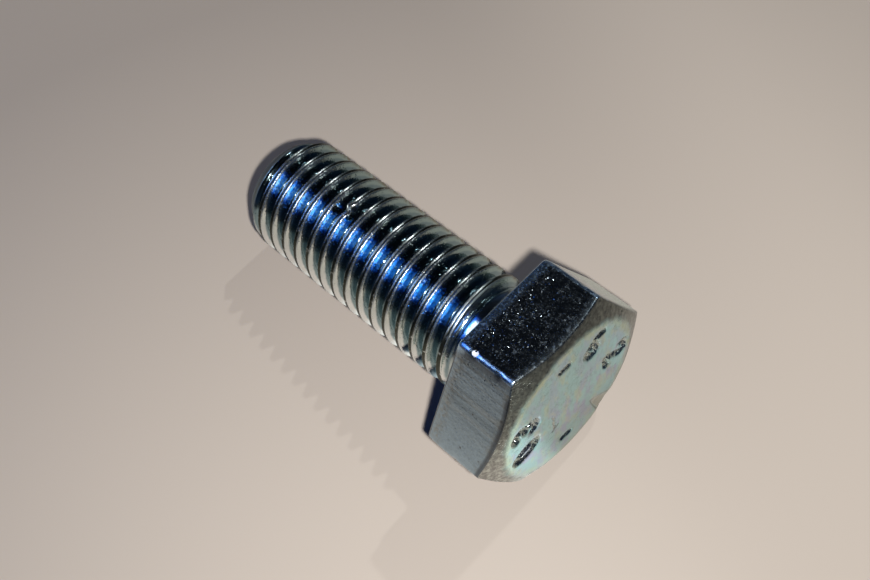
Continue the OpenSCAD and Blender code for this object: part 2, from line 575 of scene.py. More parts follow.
@dataclass(frozen=True)
class SideFinish(Finish):
    """The six flats: pitted plating with drag marks along the screw, brown edges and one scar. The
    flat on top has painted shade, a painted blue reflection and painted corner highlights.
    """

    name: str = "zinc_side"
    tint: Colour = (0.370, 0.485, 0.570)
    polish: float = 0.13
    crystals: float = 11.0
    lean_middle: Colour = (0.80, 0.30, 0.5)
    shade: Colour = (0.265, 0.34, 0.39)
    rust: Colour = (0.31, 0.31, 0.27)
    dull_edge: Colour = (0.10, 0.11, 0.125)
    top_flat_shade: Colour = (0.22, 0.25, 0.27)
    painted_blue_reflection: Colour = (0.62, 0.84, 1.0)
    green_side: Colour = (0.30, 0.54, 0.49)
    corner_highlight: Colour = (0.42, 0.57, 0.72)
    spot: Colour = (0.10, 0.09, 0.08)
    scar: Colour = (1.0, 1.0, 1.0)
    scar_place: Spot = (-2.2, 5.27, 9.32)
    scar_reach: float = 0.38
    corner_edge: Point = (10.65, 10.70)

    @staticmethod
    def _dragged(surface: Surface) -> Signal:
        """Returns 1 on the upper part of the flats that stand, which chafed on other parts."""
        return surface.above.rise(1.5, 5.0)

    @staticmethod
    def _lying(surface: Surface) -> Signal:
        """Returns 1 on the flat that lies on top."""
        return surface.above.rise(7.6, 9.2)

    def _upper_corner(self, surface: Surface) -> Signal:
        """Returns 1 on the corners beside the flat on top."""
        return surface.from_axis.rise(*self.corner_edge) * surface.above.rise(7.5, 8.5)

    def _scarred(self, surface: Surface) -> Signal:
        """Returns 1 on the ragged scar that a nick left in one corner."""
        ragged = surface.noise(4.5, 2.0).rise(0.36, 0.50)
        return surface.near(self.scar_place, self.scar_reach).rise(0.1, 0.6) * ragged

    @staticmethod
    def _corner(surface: Surface) -> Signal:
        """Returns 1 on the smooth rounded corners and edges, and 0 on the flats."""
        return surface.from_axis.rise(10.35, 10.6).larger(surface.edge)

    def _plated(self, surface: Surface) -> bpy.types.NodeSocket:
        """Colours grey plating with streaks, sparse spots and a brown strip at the bearing edge.

        Args:
            surface: The surface's coordinates and noises.

        Returns:
            The colour.
        """
        blend = surface.shader.blend
        drawn = surface.stretched((0.12, 3.0, 3.0))
        streaks = surface.noise(1.0, 3.0, 0.6, drawn).rise(0.35, 0.7)
        speckle = surface.noise(3.4, 3.0, 0.6).rise(0.42, 0.70) * 0.5
        streaks = streaks * (0.10 + self._dragged(surface) * 0.90)
        plated = blend(streaks.larger(speckle), self.tint, self.shade)
        scored = surface.noise(0.8, 2.0, 0.5, drawn).rise(0.50, 0.62) * self._dragged(surface)
        plated = blend(scored * surface.aside.rise(2.0, 5.0) * 0.3, plated, self.rust)
        strip = surface.along.hump(-1.2, 0.9) * surface.noise(2.4, 3.0).rise(0.35, 0.65)
        worn = surface.edge * surface.noise(1.8, 3.0).rise(0.35, 0.65)
        browned = blend(strip.larger(worn) * 0.6, plated, self.rust)
        spots = surface.cells(1.1).rise(0.16, 0.08) * surface.noise(0.5, 1.0).rise(0.5, 0.6)
        return blend(spots * 0.7, browned, self.spot)

    def _bordered(self, surface: Surface) -> bpy.types.NodeSocket:
        """Colours the plating with its greener far side, dull edges and painted highlights on the upper
        corners.

        Args:
            surface: The surface's coordinates and noises.

        Returns:
            The colour.
        """
        blend = surface.shader.blend
        far_side = surface.aside.rise(-6.0, -8.0)
        sided = blend(far_side * 0.8, self._plated(surface), self.green_side)
        bearing_edge = (surface.along + far_side * 0.3).rise(-0.62, -0.5)
        edged = blend(bearing_edge * 0.9, sided, self.dull_edge)
        arris = surface.edge.rise(0.55, 1.0) * surface.above.rise(8.2, 7.6)
        edged = blend(arris * 0.75, edged, self.dull_edge)
        # Painted highlight on the corners beside the flat on top.
        return blend(self._upper_corner(surface) * 0.85, edged, self.corner_highlight)

    def colour(self, surface: Surface) -> bpy.types.NodeSocket:
        """Colours the standing flats, the scar, and the flat on top with painted shade and a painted
        blue reflection by its bearing edge.

        Args:
            surface: The surface's coordinates and noises.

        Returns:
            The colour.
        """
        blend = surface.shader.blend
        scarred = self._scarred(surface)
        standing = blend(scarred, self._bordered(surface), self.scar)
        uneven = surface.along + (surface.noise(1.3, 3.0, 0.6) - 0.5) * 0.9
        # Painted shade on the flat on top, with a painted blue reflection near its bearing edge.
        dark = blend(uneven.rise(-1.5, -0.95), self.top_flat_shade, self.painted_blue_reflection)
        upper = surface.above.rise(8.3, 9.1) * (0.85 - surface.edge * 0.6) * (1.0 - scarred)
        return blend(upper * surface.from_axis.rise(*reversed(self.corner_edge)), standing, dark)

    def gloss(self, surface: Surface) -> Signal:
        """Sets a satin roughness, duller in patches, along the edges and on the scar.

        Args:
            surface: The surface's coordinates and noises.

        Returns:
            The roughness.
        """
        patchy = 0.35 + surface.noise(0.7, 2.0).rise(0.35, 0.65) * 0.65
        rough = surface.noise(4.4, 4.0, 0.75).rise(0.48, 0.70) * 0.30 * patchy
        band = surface.along.rise(-1.6, -1.1) * 0.07
        upper = self._lying(surface) * (0.02 + rough + band)
        scarred = self._scarred(surface) * 0.5
        cloudy = surface.noise(1.6, 3.0).rise(0.4, 0.75) * 0.06
        corner = self._upper_corner(surface) * 0.05
        return self.polish + upper + scarred + cloudy + corner + surface.edge * 0.08

    def relief(self, surface: Surface) -> Signal:
        """Makes pits of a few tenths of a millimetre and shallow drag marks.

        Args:
            surface: The surface's coordinates and noises.

        Returns:
            The height, in millimetres.
        """
        grain = surface.noise(3.4, 2.0, 0.6) * 0.016
        drag = surface.noise(1.0, 2.0, 0.5, surface.stretched((0.1, 2.6, 2.6))) * 0.012
        drag = drag * (0.3 + self._dragged(surface) * 0.7)
        strip = surface.along.hump(-1.1, 0.7) * surface.noise(3.2, 2.0) * 0.03
        calm = (self._corner(surface) * 0.85).larger(surface.above.rise(8.2, 9.0))
        return (drag + grain + strip) * (1.0 - calm)

    def sparkle(self, surface: Surface) -> Signal:
        """Returns a strong lean on the flats that lie above, and a weak one on those that rub."""
        lean = 0.15 + self._lying(surface) * (0.46 + surface.along.rise(-5.5, -1.8) * 0.25)
        return lean * (1.0 - self._corner(surface) * 0.9) * surface.along.rise(-0.8, -1.6)


@dataclass(frozen=True)
class HeadEndFinish(Finish):
    """The flat top with its coloured passivation film, and the rough forged corner chamfer."""

    name: str = "zinc_head_end"
    tint: Colour = (0.350, 0.595, 0.62)
    clear_film: Colour = (0.40, 0.71, 0.77)
    polish: float = 0.20
    film_start: float = 8.0
    film_end: float = 8.9
    violet: Colour = (0.40, 0.42, 0.62)
    straw: Colour = (0.53, 0.59, 0.38)
    dust: Colour = (0.19, 0.29, 0.29)
    forged: Colour = (0.128, 0.140, 0.130)
    forged_light: Colour = (0.228, 0.252, 0.226)
    stamped: Colour = (0.50, 0.50, 0.45)
    bare: Colour = (0.36, 0.37, 0.32)
    dent_shadow_and_dark_rim: Colour = (0.085, 0.10, 0.085)
    painted_lit_forged: Colour = (0.28, 0.285, 0.275)
    painted_lit_forged_light: Colour = (0.60, 0.64, 0.60)
    low_way: Point = (-0.36, -0.93)
    rim_edge: Point = (8.10, 8.38)

    def _chamfer(self, surface: Surface) -> Signal:
        """Returns 0 on the flat top and 1 on the chamfer, with an uneven border."""
        wander = (surface.noise(0.8, 3.0) - 0.5) * 0.9
        return (surface.from_axis + wander).rise(self.film_start, self.film_end)

    def _filmed(self, surface: Surface) -> bpy.types.NodeSocket:
        """Colours the film's patches, the dust and a darkening towards the bottom, the marks, a painted
        shadow on the dent's wall and a darker rim on the lower side.

        Args:
            surface: The surface's coordinates and noises.

        Returns:
            The colour.
        """
        blend = surface.shader.blend
        shift = surface.stretched((1.0, 1.9, 1.0), 7.0)
        drawn = surface.stretched((1.0, 1.7, 0.9), 2.0)
        clear = blend(surface.aside.rise(-2.0, -7.0), self.tint, self.clear_film)
        lilac = surface.noise(0.42, 3.0, 0.6, shift).rise(0.44, 0.62)
        film = blend(lilac * (0.42 + surface.above.rise(3.0, -3.0) * 0.45), clear, self.violet)
        film = blend(surface.noise(0.5, 3.0, 0.6, drawn).rise(0.49, 0.66) * 0.5, film, self.straw)
        rim = surface.from_axis.hump(8.15, 0.8) * surface.noise(0.7, 3.0).rise(0.25, 0.6)
        film = blend(rim * 0.6, film, self.straw)
        dusty = surface.noise(1.6, 4.0, 0.7, shift).rise(0.50, 0.66) * 0.4
        # Dust patches, and the top darker towards the bottom.
        film = blend(dusty.larger(surface.above.rise(-1.0, -6.0) * 0.42), film, self.dust)
        film = blend(surface.crest * 0.75, film, self.stamped)
        # Painted shadow on the dent's wall.
        film = blend(surface.edge.hump(0.32, 0.32) * 0.95, film, self.dent_shadow_and_dark_rim)
        film = blend(surface.edge.rise(0.45, 0.9) * 0.85, film, self.bare)
        # A darker rim on the lower side.
        low_side = (surface.aside * self.low_way[0] + surface.above * self.low_way[1]).rise(2.0, 4.5)
        return blend(surface.from_axis.rise(*self.rim_edge) * low_side * 0.8, film, self.dent_shadow_and_dark_rim)

    def _mottled(self, surface: Surface) -> bpy.types.NodeSocket:
        """Colours the forged metal of the chamfer, with painted light making it paler below.

        Args:
            surface: The surface's coordinates and noises.

        Returns:
            The colour.
        """
        blend = surface.shader.blend
        mottle = surface.noise(2.2, 4.0, 0.7).rise(0.38, 0.66)
        upper = blend(mottle, self.forged, self.forged_light)
        lower = blend(mottle, self.painted_lit_forged, self.painted_lit_forged_light)
        # Painted light: the chamfer is paler below, less so on the far side.
        lit = surface.above.rise(7.0, -0.5) * (1.0 - surface.aside.rise(-5.0, -9.0) * 0.5)
        return blend(lit, upper, lower)

    def colour(self, surface: Surface) -> bpy.types.NodeSocket:
        """Returns the film on the flat top and the forged metal round it."""
        film, forged = self._filmed(surface), self._mottled(surface)
        return surface.shader.blend(self._chamfer(surface), film, forged)

    def gloss(self, surface: Surface) -> Signal:
        """Returns a satin top, a duller chamfer and slightly duller marks."""
        cloudy = surface.noise(1.2, 3.0).rise(0.4, 0.8) * 0.08
        return self.polish + cloudy + self._chamfer(surface) * 0.16 + surface.crest * 0.04

    def relief(self, surface: Surface) -> Signal:
        """Makes fine grain, thin scratches, and coarse grain on the chamfer and in the marks.

        Args:
            surface: The surface's coordinates and noises.

        Returns:
            The height, in millimetres.
        """
        grain = surface.noise(6.0, 3.0) * 0.004
        lines = surface.noise(1.0, 1.0, 0.5, surface.stretched((1.0, 0.35, 5.0)))
        scratches = lines.hump(0.5, 0.012) * surface.noise(0.3, 1.0).rise(0.5, 0.6) * 0.008
        coarse = self._chamfer(surface) * surface.noise(3.0, 3.0, 0.6) * 0.035
        punched = surface.crest * surface.noise(3.6, 2.0, 0.6) * 0.08
        return grain - scratches - coarse + punched

    def sparkle(self, surface: Surface) -> Signal:
        """Returns a faint lean of the crystals, stronger on the chamfer and in the marks."""
        return 0.10 + (self._chamfer(surface) * 0.45).larger(surface.crest * 1.0)


@dataclass(frozen=True)
class TipFinish(Finish):
    """The sheared end of the tip."""

    name: str = "zinc_tip_end"
    tint: Colour = (0.58, 0.64, 0.62)
    polish: float = 0.3
    shade: Colour = (0.38, 0.41, 0.40)

    def colour(self, surface: Surface) -> bpy.types.NodeSocket:
        """Returns the plating's colour with dull patches."""
        return surface.shader.blend(surface.noise(0.9, 4.0).rise(0.4, 0.65), self.tint, self.shade)

    def gloss(self, surface: Surface) -> Signal:
        """Returns a satin roughness."""
        return self.polish + surface.noise(1.5, 3.0).rise(0.4, 0.8) * 0.1

    def relief(self, surface: Surface) -> Signal:
        """Returns the coarse grain of a sheared end."""
        return surface.noise(2.0, 4.0, 0.6) * 0.04


# ---------------------------------------------------------------------------------------------
# The screw


@dataclass
class Skin:
    """Collects the points and faces of a closed surface in the screw's straight frame."""

    points: list[Vector] = field(default_factory=list)
    crest: list[float] = field(default_factory=list)
    edge: list[float] = field(default_factory=list)
    faces: list[tuple[int, ...]] = field(default_factory=list)
    zones: list[Zone] = field(default_factory=list)

    def row(self, points: Iterable[Vector], crest: float = 0.0, edge: float = 0.0) -> list[int]:
        """Adds a row of points.

        Args:
            points: The points in order.
            crest: How near they are to the middle of the thread's crest, from 0 to 1.
            edge: How near they are to an outer edge, from 0 to 1.

        Returns:
            Their numbers.
        """
        start = len(self.points)
        self.points.extend(points)
        count = len(self.points) - start
        self.crest.extend([crest] * count)
        self.edge.extend([edge] * count)
        return list(range(start, start + count))

    def face(self, corners: tuple[int, ...], zone: Zone) -> None:
        """Adds one face."""
        self.faces.append(corners)
        self.zones.append(zone)

    def band(self, low: list[int], high: list[int], zone: Zone) -> None:
        """Joins two closed rows of the same length with quads.

        Args:
            low: The first row's numbers.
            high: The second row's numbers.
            zone: The zone of the faces.
        """
        for i in range(len(low)):
            j = (i + 1) % len(low)
            self.face((low[i], low[j], high[j], high[i]), zone)

    def fan(self, row: list[int], centre: Vector, zone: Zone) -> None:
        """Closes a row with triangles to one point.

        Args:
            row: The row's numbers.
            centre: The point.
            zone: The zone of the faces.
        """
        middle = self.row([centre])[0]
        for i in range(len(row)):
            self.face((row[i], row[(i + 1) % len(row)], middle), zone)

    def stitch(self, low: list[int], high: list[int], zone: Zone) -> None:
        """Joins two closed rows of different lengths, both in order of angle, with triangles.

        Args:
            low: The first row's numbers.
            high: The second row's numbers.
            zone: The zone of the faces.
        """
        turn = [[self._angle(i) for i in row] for row in (low, high)]
        i = j = 0
        while i < len(low) or j < len(high):
            step_low = turn[0][i + 1] if i + 1 < len(low) else 2 * math.pi
            step_high = turn[1][j + 1] if j + 1 < len(high) else 2 * math.pi
            here = (low[i % len(low)], high[j % len(high)])
            if j >= len(high) or (i < len(low) and step_low <= step_high):
                self.face((here[0], low[(i + 1) % len(low)], here[1]), zone)
                i += 1
            else:
                self.face((here[0], high[(j + 1) % len(high)], here[1]), zone)
                j += 1

    def _angle(self, number: int) -> float:
        """Returns the angle of a point round the axis, from 0 up to a full turn."""
        point = self.points[number]
        return math.atan2(point.z, point.y) % (2 * math.pi)


@dataclass(frozen=True)
class Stroke:
    """One sunk stroke of a plain mark on the top of the head."""

    line: tuple[Point, ...]
    half_width: float = 0.54
    depth: float = 0.34

    def distance(self, spot: Point) -> float:
        """Returns how far a spot lies from the stroke's line."""
        return min(self._to_segment(spot, a, b) for a, b in zip(self.line, self.line[1:]))

    @staticmethod
    def _to_segment(spot: Point, a: Point, b: Point) -> float:
        """Measures how far a spot lies from a segment.

        Args:
            spot: The spot.
            a: The segment's start.
            b: The segment's end.

        Returns:
            The distance.
        """
        run = (b[0] - a[0], b[1] - a[1])
        length = run[0] ** 2 + run[1] ** 2
        share = ((spot[0] - a[0]) * run[0] + (spot[1] - a[1]) * run[1]) / length
        share = min(1.0, max(0.0, share))
        return math.dist(spot, (a[0] + share * run[0], a[1] + share * run[1]))


@dataclass(frozen=True)
class Marks:
    """Plain numbers and two dashes, stamped into the top of the head."""

    digit_height: float = 2.7

    def strokes(self) -> list[Stroke]:
        """Lays out every stroke, in the top's own plane: y to the left and z up.

        Returns:
            The strokes of the numbers, the dashes and a few thin scratches.
        """
        placed = [
            ("6", (-3.5, 5.0), -36.0),
            ("2", (-6.3, 0.0), -88.0),
            ("3", (5.6, 2.2), 72.0),
            ("0", (5.8, -1.4), 98.0),
        ]
        lines = [
            [self._placed(spot, centre, turn) for spot in line]
            for name, centre, turn in placed
            for line in self._digit(name)
        ]
        dashes = [([(0.85, 6.12), (-0.15, 6.05)], 0.22), ([(1.25, -5.9), (0.2, -6.0)], 0.36)]
        scratches = [
            arc((3.4, -0.9), 1.3, 150, 205, 6),
            arc((4.3, -1.9), 2.2, 160, 195, 6),
            [(1.7, -2.3), (2.4, -2.7)],
        ]
        return (
            [Stroke(tuple(line)) for line in lines]
            + [Stroke(tuple(line), 0.48, depth) for line, depth in dashes]
            + [Stroke(tuple(line), 0.15, 0.06) for line in scratches]
        )

    def _digit(self, name: str) -> list[list[Point]]:
        """Draws a digit about its own centre.

        Args:
            name: The digit.

        Returns:
            Its lines.
        """
        half = self.digit_height / 2
        bowl = half / 2
        if name == "6":
            tail = [(-bowl, -bowl), (-0.8 * bowl, 0.2), (-0.1, 1.4 * bowl), (0.7 * bowl, half)]
            return [tail, arc((0.0, -bowl), bowl, 0, 360, 13)]
        if name == "2":
            return [arc((0.0, bowl), bowl, 165, -35, 9) + [(-bowl, -half), (bowl, -half)]]
        if name == "3":
            upper = arc((0.0, bowl), bowl, 150, -90, 10)
            return [upper + arc((0.0, -bowl), bowl, 90, -150, 10)[1:]]
        ring = arc((0.0, 0.0), 1.0, 0, 360, 21)
        return [[(bowl * u, half * v) for u, v in ring]]

    @staticmethod
    def _placed(spot: Point, centre: Point, turn: float) -> Point:
        """Turns a digit's spot and moves it to its centre. Seen from outside, y runs to the left.

        Args:
            spot: A spot about the digit's own centre.
            centre: The digit's place.
            turn: How far the digit is turned, in degrees.

        Returns:
            The spot in the top's plane.
        """
        angle = math.radians(turn)
        u = spot[0] * math.cos(angle) - spot[1] * math.sin(angle)
        v = spot[0] * math.sin(angle) + spot[1] * math.cos(angle)
        return (centre[0] - u, centre[1] + v)


@dataclass
class Head:
    """The forged hexagonal head, from the middle of its top to the neck's fillet."""

    across_flats: float = 18.8
    height: float = 7.5
    top_inset: float = 0.95
    top_round: float = 1.6
    chamfer_angle: float = math.radians(25)
    corner_radius: float = 0.6
    arris: float = 0.16
    bearing_round: float = 0.22
    roll_off: Point = (1.1, 0.11)
    washer_inset: float = 0.8
    washer_thickness: float = 0.35
    dent_apex: Point = (-2.6, -4.1)
    dent_turn: float = math.radians(236.9)
    dent_depth: float = 0.13
    dent_wall: float = 0.09
    dent_least: float = 0.004
    flat_steps: int = 34
    corner_steps: int = 8
    seed: int = 12

    def __post_init__(self) -> None:
        """Works out the radii and the angles of a row's points."""
        self.apothem = self.across_flats / 2
        self.top_radius = self.apothem - self.top_inset
        self.washer_radius = self.apothem - self.washer_inset
        self.corner_centre = (self.apothem - self.corner_radius) / math.cos(math.radians(30))
        straight = (self.apothem - self.corner_radius) * math.tan(math.radians(30))
        reach = math.degrees(math.atan2(straight, self.apothem))
        flat = spread(-reach, reach, self.flat_steps + 1)
        corner = spread(reach, 60 - reach, self.corner_steps + 1)[1:-1]
        side = flat + corner
        self.angles = sorted(math.radians((30 + 60 * k + a) % 360) for k in range(6) for a in side)
        self.strokes = Marks().strokes()

    def outline(self, angle: float) -> float:
        """Works out the hexagon with its corners rounded.

        Args:
            angle: Angle round the axis.

        Returns:
            The radius at that angle.
        """
        from_flat = (angle - math.radians(30)) % math.radians(60)
        from_flat = min(from_flat, math.radians(60) - from_flat)
        from_corner = math.radians(30) - from_flat
        if self.corner_centre * math.sin(from_corner) > self.corner_radius * math.sin(math.radians(30)):
            return self.apothem / math.cos(from_flat)
        aside = self.corner_centre * math.sin(from_corner)
        return self.corner_centre * math.cos(from_corner) + math.sqrt(self.corner_radius**2 - aside**2)

    def sunk(self, y: float, z: float) -> float:
        """Returns how deep the top is stamped or dented at a place.

        Args:
            y: Place across the screw.
            z: Place up the screw.

        Returns:
            The depth, in millimetres.
        """
        depth = 0.0
        for stroke in self.strokes:
            away = stroke.distance((y, z))
            if away < stroke.half_width * 2.2:
                floor = 1.0 + 0.6 * noise.noise(Vector((y, z, 3.0)) * 3.4)
                wall = smooth_step(stroke.half_width, stroke.half_width * 0.45, away)
                lip = smooth_step(stroke.half_width * 2.2, stroke.half_width * 1.3, away)
                lip *= smooth_step(stroke.half_width * 0.8, stroke.half_width * 1.2, away)
                depth = max(depth, stroke.depth * wall * floor) - 0.02 * lip
        return depth + self._dent(y, z) + 0.012 * noise.noise(Vector((y, z, 0.0)) * 0.5)

    def _dent(self, y: float, z: float) -> float:
        """Works out the wedge-shaped dent, which widens from its apex to the rim.

        Args:
            y: Place across the screw.
            z: Place up the screw.

        Returns:
            The depth, in millimetres.
        """
        way = (math.cos(self.dent_turn), math.sin(self.dent_turn))
        run = (y - self.dent_apex[0], z - self.dent_apex[1])
        out = run[0] * way[0] + run[1] * way[1]
        across = run[1] * way[0] - run[0] * way[1]
        if out <= 0.0:
            return 0.0
        side = across / (0.10 + 0.31 * out)
        walls = smooth_step(-1.5, -0.3, side) * smooth_step(1.1, 0.1, side)
        fade = smooth_step(10.4, 8.6, math.hypot(y, z))
        return self.dent_depth * smooth_step(-0.3, 2.0, out) * walls * fade

    def build(self, skin: Skin) -> list[int]:
        """Adds the head's surface.

        Args:
            skin: The surface to add to.

        Returns:
            The last row, at the outer edge of the washer face.
        """
        rows = self._rows()
        rim = self._top(skin, rows[0][0])
        last = rim
        for row, zone, edge in rows[1:]:
            numbers = skin.row(row, edge=edge)
            skin.band(last, numbers, zone)
            last = numbers
        return last

    def _ring(self, place: Callable[[float], Point]) -> list[Vector]:
        """Places the points of a row.

        Args:
            place: Gives (x, radius) at an angle.

        Returns:
            The points in order of angle.
        """
        points = []
        for angle in self.angles:
            x, radius = place(angle)
            points.append(self._worn(Vector((x, radius * math.cos(angle), radius * math.sin(angle)))))
        return points

    def _worn(self, point: Vector) -> Vector:
        """Moves a point by the forging marks, the dent, the stamped marks and the nicks.

        Args:
            point: A point of the true form.

        Returns:
            Where it ends up.
        """
        near_top = smooth_step(-self.height + 2.6, -self.height + 0.6, point.x)
        sunk = self.sunk(point.y, point.z) if near_top > 0 else 0.0
        moved = point + Vector((near_top * sunk, 0.0, 0.0))
        outward = Vector((0.0, point.y, point.z)).normalized()
        moved += outward * 0.018 * noise.noise(point * 0.45)
        for nick in self._nicks():
            away = (point - nick[0]).length / nick[1]
            moved -= outward * nick[2] * math.exp(-away * away)
        return moved

    def _nicks(self) -> list[tuple[Vector, float, float]]:
        """Picks the nicks in the corners.

        Returns:
            The place, the size and the depth of each.
        """
        corner = self.outline(0.0)
        made = [self._nick(-2.2, 60.5, corner, 0.34, 0.07)]
        draw = random.Random(self.seed)
        for k in range(6):
            x = draw.uniform(-5.6, -1.6)
            angle = 60.0 * k + draw.uniform(-1, 1)
            made.append(self._nick(x, angle, corner, draw.uniform(0.2, 0.4), 0.07))
        return made

    @staticmethod
    def _nick(x: float, angle: float, radius: float, size: float, depth: float
              ) -> tuple[Vector, float, float]:
        """Returns one nick from its place along and round the head."""
        turn = math.radians(angle)
        return Vector((x, radius * math.cos(turn), radius * math.sin(turn))), size, depth

    def _rows(self) -> list[tuple[list[Vector], Zone, float]]:
        """Works out the rows from the rim of the flat top to the washer face.

        Returns:
            The points, the zone and the nearness to an outer edge of each row, in order.
        """
        slope = math.tan(self.chamfer_angle)
        tangent = self.top_round * math.tan(self.chamfer_angle / 2)
        top = -self.height
        reach, drop = self.roll_off
        lean = math.atan(2 * drop / reach)
        flat_end = -self.washer_thickness - self.bearing_round * (1 - math.sin(lean))
        rows = []

        def add(place: Callable[[float], Point], zone: Zone, edge: float = 0.0) -> None:
            """Adds one row."""
            rows.append((self._ring(place), zone, edge))

        for turn in spread(0.0, self.chamfer_angle, 5):
            x = top + self.top_round * (1 - math.cos(turn))
            radius = self.top_radius - tangent + self.top_round * math.sin(turn)
            add(lambda angle, x=x, radius=radius: (x, radius), Zone.HEAD_END)
        cone_start = self.top_radius + tangent * math.cos(self.chamfer_angle)

        def on_cone(angle: float, share: float) -> Point:
            """Places a point of the chamfer's cone.

            Args:
                angle: Angle round the axis.
                share: 0 at the cone's start and 1 at the arris.

            Returns:
                Its (x, radius).
            """
            end = self.outline(angle) - self.arris * math.cos(self.chamfer_angle)
            radius = cone_start + (end - cone_start) * share
            return top + (radius - self.top_radius) * slope, radius

        def on_arris(angle: float, share: float) -> Point:
            """Places a point of the rounded edge between the chamfer and a flat.

            Args:
                angle: Angle round the axis.
                share: 0 at the chamfer and 1 at the flat.

            Returns:
                Its (x, radius).
            """
            radius = self.outline(angle)
            x = top + (radius - self.top_radius) * slope
            first, last = (1 - share) ** 2, share**2
            return (
                x - first * self.arris * math.sin(self.chamfer_angle) + last * self.arris,
                radius - first * self.arris * math.cos(self.chamfer_angle),
            )

        def on_flat(angle: float, share: float) -> Point:
            """Places a point of a flat.

            Args:
                angle: Angle round the axis.
                share: 0 at the arris and 1 at the bearing edge.

            Returns:
                Its (x, radius).
            """
            radius = self.outline(angle)
            start = top + (radius - self.top_radius) * slope + self.arris
            x = start + (flat_end - start) * share
            return x, radius - drop * max(0.0, (x - flat_end) / reach + 1) ** 2

        def on_bearing_edge(angle: float, turn: float) -> Point:
            """Places a point of the rounded edge on the bearing side.

            Args:
                angle: Angle round the axis.
                turn: How far the edge has turned toward the axis.

            Returns:
                Its (x, radius).
            """
            inset = self.bearing_round * (math.cos(lean) - math.cos(turn)) + drop
            radius = self.outline(angle) * (self.apothem - inset) / self.apothem
            return flat_end + self.bearing_round * (math.sin(turn) - math.sin(lean)), radius

        for share in spread(0.0, 1.0, 7)[1:]:
            add(lambda angle, s=share: on_cone(angle, s), Zone.HEAD_END, smooth_step(0.7, 1.0, share))
        for share in spread(0.0, 1.0, 5)[1:]:
            zone = Zone.HEAD_END if share < 0.5 else Zone.HEAD_SIDE
            add(lambda angle, s=share: on_arris(angle, s), zone, 1.0)
        for share in spread(0.0, 1.0, 30)[1:]:
            add(lambda angle, s=share: on_flat(angle, s), Zone.HEAD_SIDE, smooth_step(0.12, 0.0, share))
        for turn in spread(lean, math.pi / 2, 8)[1:]:
            add(lambda angle, t=turn: on_bearing_edge(angle, t), Zone.HEAD_SIDE)
        for x, inset in ((-self.washer_thickness, -0.06), (-self.washer_thickness + 0.06, 0.0),
                         (-0.06, 0.0), (0.0, 0.06)):
            radius = self.washer_radius - inset
            add(lambda angle, x=x, radius=radius: (x, radius), Zone.BEARING)
        return rows

    def _top(self, skin: Skin, rim: list[Vector]) -> list[int]:
        """Adds the flat top inside its rim, finely meshed round the stamped marks.

        Args:
            skin: The surface to add to.
            rim: The points of the top's rim.

        Returns:
            The rim's numbers.
        """
        coarse, fine = 0.42, 0.10
        limit = math.hypot(rim[0].y, rim[0].z) - 0.12
        spots = [(p.y, p.z) for p in rim]
        spots += [s for s in self._lattice(coarse, limit) if not self._near_mark(s, 0.75)]
        spots += [s for s in self._lattice(fine, limit) if self._near_mark(s, 0.62)]
        border = [(i, (i + 1) % len(rim)) for i in range(len(rim))]
        flat, _, faces, *_ = delaunay_2d_cdt([Vector(s) for s in spots], border, [], 1, 1e-5)
        top = -self.height
        inner = [self._worn(Vector((top, v.x, v.y))) for v in flat]
        numbers = skin.row(inner)
        for number, spot in zip(numbers, flat):
            skin.crest[number] = self._stamped(spot.x, spot.y)
            skin.edge[number] = min(1.0, self._dent(spot.x, spot.y) / self.dent_wall)
        for corners in faces:
            skin.face(tuple(numbers[c] for c in corners), Zone.HEAD_END)
        return numbers[: len(rim)]

    def _stamped(self, y: float, z: float) -> float:
        """Returns 1 at the bottom of a stamped mark and 0 outside the marks."""
        walls = [smooth_step(s.half_width, s.half_width * 0.6, s.distance((y, z))) for s in self.strokes]
        return max(walls)

    def _near_mark(self, spot: Point, reach: float) -> bool:
        """Looks for a stroke or the rim's dent beside a spot.

        Args:
            spot: A place on the top.
            reach: How near a stroke has to be.

        Returns:
            Whether there is one.
        """
        if self._dent(*spot) > self.dent_least:
            return True
        return any(stroke.distance(spot) < reach for stroke in self.strokes)

    @staticmethod
    def _lattice(step: float, limit: float) -> list[Point]:
        """Spreads the points of a triangular lattice inside a circle.

        Args:
            step: Distance between neighbours.
            limit: The circle's radius.

        Returns:
            The points.
        """
        rows = int(limit / (step * math.sqrt(0.75))) + 1
        columns = int(limit / step) + 1
        spots = [
            ((i + 0.5 * (j % 2)) * step, j * step * math.sqrt(0.75))
            for j in range(-rows, rows + 1)
            for i in range(-columns, columns + 1)
        ]
        return [s for s in spots if math.hypot(*s) < limit]


